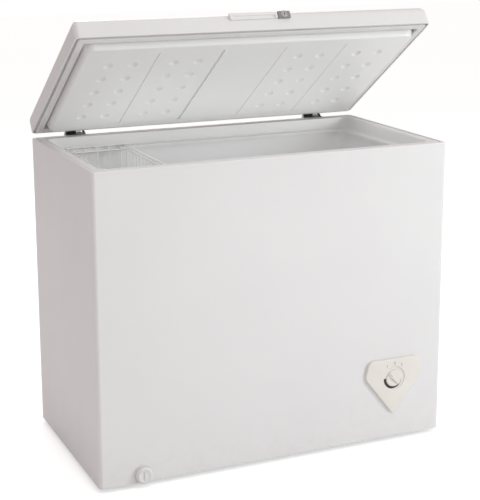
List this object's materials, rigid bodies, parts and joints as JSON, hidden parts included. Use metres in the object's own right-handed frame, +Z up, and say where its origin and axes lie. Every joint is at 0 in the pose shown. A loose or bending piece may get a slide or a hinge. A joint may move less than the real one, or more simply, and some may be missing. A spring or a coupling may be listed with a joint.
{
  "type": "chest freezer",
  "caption": "White chest freezer with a foamed lid hinged open at the back, a stepped liner, a hanging wire basket, a front dial and a drain.",
  "frame": {"origin": "centre of the whole box at floor level, with the lid standing open as stored", "axes": "+Z up, -Y towards the person in front of the freezer, +X towards their right hand"},
  "size_m": [0.94, 0.5565, 1.1197],
  "materials": {
    "white_steel": "gloss enamel",
    "galvanised_steel": "zinc plated",
    "white_plastic": "smooth satin",
    "foam": "porous",
    "aluminium_tube": "drawn tube",
    "steel_tube": "drawn tube",
    "black_steel": "semi-gloss",
    "black_plastic": "moulded",
    "copper": "bright drawn",
    "grey_plastic": "moulded",
    "cream_plastic": "satin",
    "rubber_black": "matte",
    "gasket_rubber": "soft satin",
    "coated_wire": "dipped coating"
  },
  "bodies": {
    "cabinet": {"outer_wrap": "white_steel", "rear_panel": "white_steel", "inner_liner": "white_steel", "base_pan": "galvanised_steel", "lock_keeper": "galvanised_steel", "compressor_plate": "galvanised_steel", "rear_cover": "galvanised_steel", "hinge_pin_left": "galvanised_steel", "hinge_pin_right": "galvanised_steel", "hinge_spring_left": "galvanised_steel", "hinge_spring_right": "galvanised_steel", "rim_trim": "white_plastic", "side_grille": "white_plastic", "insulation_front": "foam", "insulation_rear": "foam", "insulation_left": "foam", "insulation_right": "foam", "insulation_floor": "foam", "insulation_step": "foam", "evaporator_tube": "aluminium_tube", "condenser_tube": "steel_tube", "compressor": "black_steel", "hinge_base_left": "black_steel", "hinge_base_right": "black_steel", "relay_cover": "black_plastic", "cable_gland": "black_plastic", "suction_pipe": "copper", "discharge_pipe": "copper", "filter_drier": "copper", "thermostat": "grey_plastic", "drain_tube": "grey_plastic", "control_bezel": "cream_plastic", "foot_front_left": "rubber_black", "foot_front_right": "rubber_black", "foot_rear_left": "rubber_black", "foot_rear_right": "rubber_black", "compressor_mount_front_left": "rubber_black", "compressor_mount_front_right": "rubber_black", "compressor_mount_rear_left": "rubber_black", "compressor_mount_rear_right": "rubber_black"},
    "lid": {"lid_skin": "white_steel", "lid_insulation": "foam", "lid_liner": "white_plastic", "lid_gasket": "gasket_rubber", "lid_handle": "white_plastic", "lock_housing": "grey_plastic", "hinge_arm_left": "black_steel", "hinge_arm_right": "black_steel"},
    "lock": {"lock_cylinder": "galvanised_steel", "lock_cam": "galvanised_steel"},
    "knob": {"control_knob": "cream_plastic"},
    "drain_cap": {"drain_cap": "white_plastic"},
    "drain_plug": {"drain_plug": "white_plastic"},
    "basket": {"basket_rail": "coated_wire", "basket_side_left": "coated_wire", "basket_side_right": "coated_wire", "basket_end_front": "coated_wire", "basket_end_rear": "coated_wire", "basket_floor": "coated_wire"}
  },
  "joints": [
    {"name": "lid_hinge", "type": "hinge", "parent": "cabinet", "child": "lid", "pos_m": [0, 0.2571, 0.782], "axis": [-1, 0, 0], "range_deg": [-34, 46]},
    {"name": "lock_turn", "type": "hinge", "parent": "lid", "child": "lock", "pos_m": [0.062, -0.1519, 1.10733], "axis": [0, 0.829, -0.5592], "range_deg": [0, 90]},
    {"name": "knob_turn", "type": "hinge", "parent": "cabinet", "child": "knob", "pos_m": [0.326, -0.2639, 0.175], "axis": [0, -1, 0], "range_deg": [-105, 135]},
    {"name": "drain_cap_pull", "type": "slide", "parent": "cabinet", "child": "drain_cap", "axis": [0, -1, 0], "range_m": [0, 0.03]},
    {"name": "drain_plug_lift", "type": "slide", "parent": "cabinet", "child": "drain_plug", "axis": [0, 0, 1], "range_m": [0, 0.04]},
    {"name": "basket_slide", "type": "slide", "parent": "cabinet", "child": "basket", "axis": [1, 0, 0], "range_m": [0, 0.62]}
  ]
}
